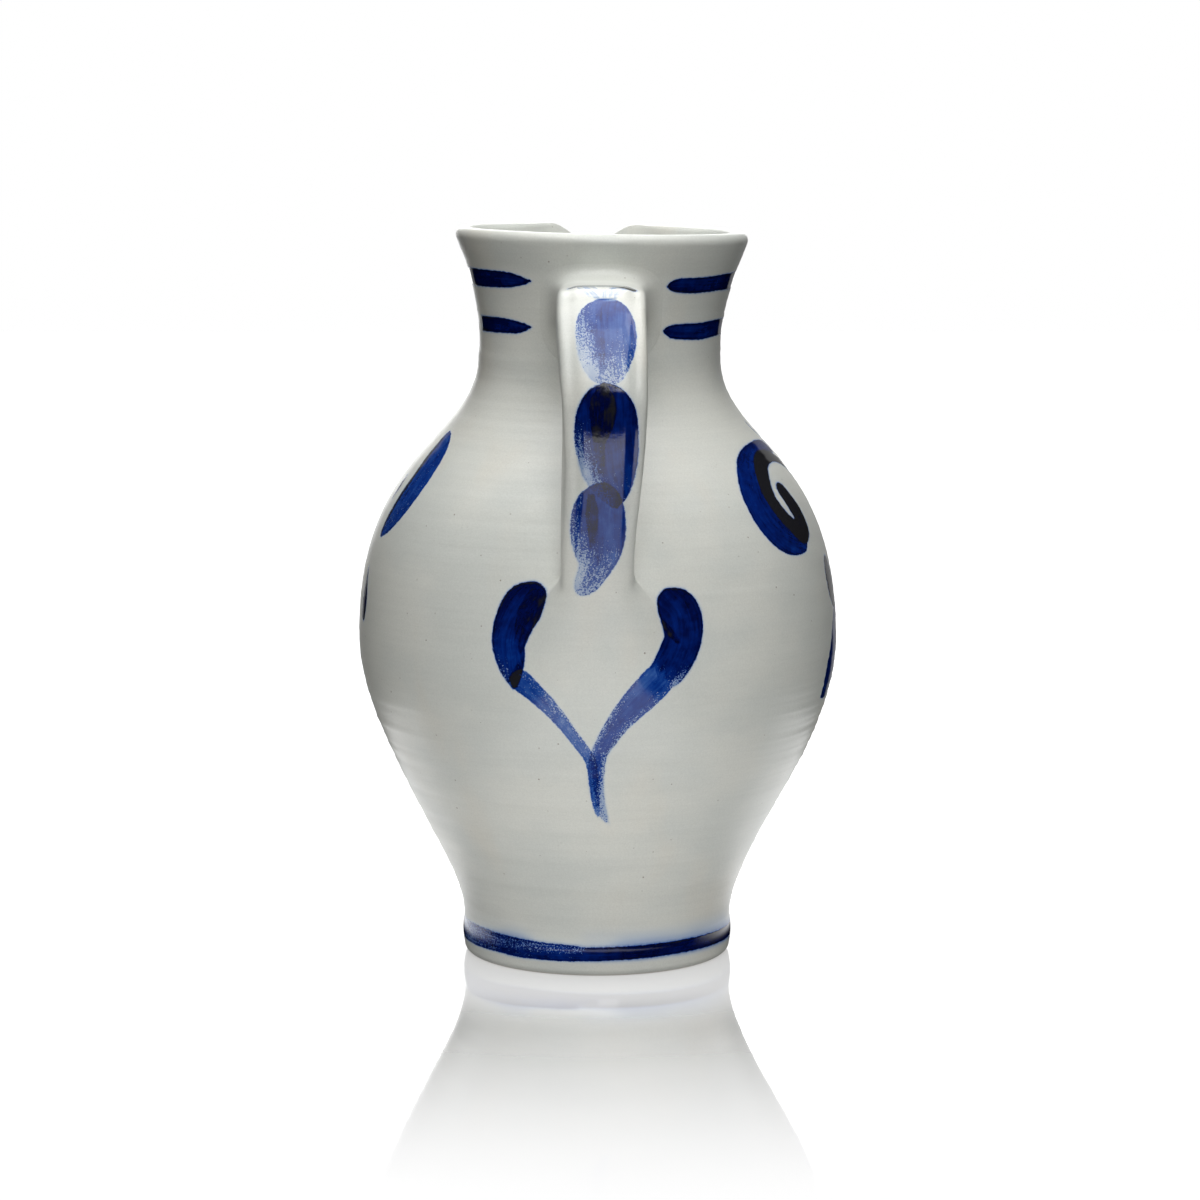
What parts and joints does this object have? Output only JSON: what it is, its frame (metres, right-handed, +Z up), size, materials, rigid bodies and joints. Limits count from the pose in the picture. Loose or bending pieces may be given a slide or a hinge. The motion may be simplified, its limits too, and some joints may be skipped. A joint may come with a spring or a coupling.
{
  "type": "stoneware jug",
  "caption": "Round-bellied salt-glazed grey stoneware jug with a narrow foot, a flared neck, a pulled pouring lip, a strap handle and blue brush ornament.",
  "frame": {"origin": "centre of the foot's flat underside, where the jug stands on the table", "axes": "+Z up along the axis of the thrown pot, +Y towards the pouring lip, -Y towards the strap handle, +X to the right as seen from behind the handle"},
  "size_m": [0.125, 0.1405, 0.19],
  "materials": {
    "salt_glazed_stoneware": "satin salt glaze on pale grey stoneware, with glossier cobalt blue brush ornament"
  },
  "bodies": {
    "root": {"body": "salt_glazed_stoneware", "handle": "salt_glazed_stoneware", "luting_coil": "salt_glazed_stoneware"}
  },
  "joints": []
}
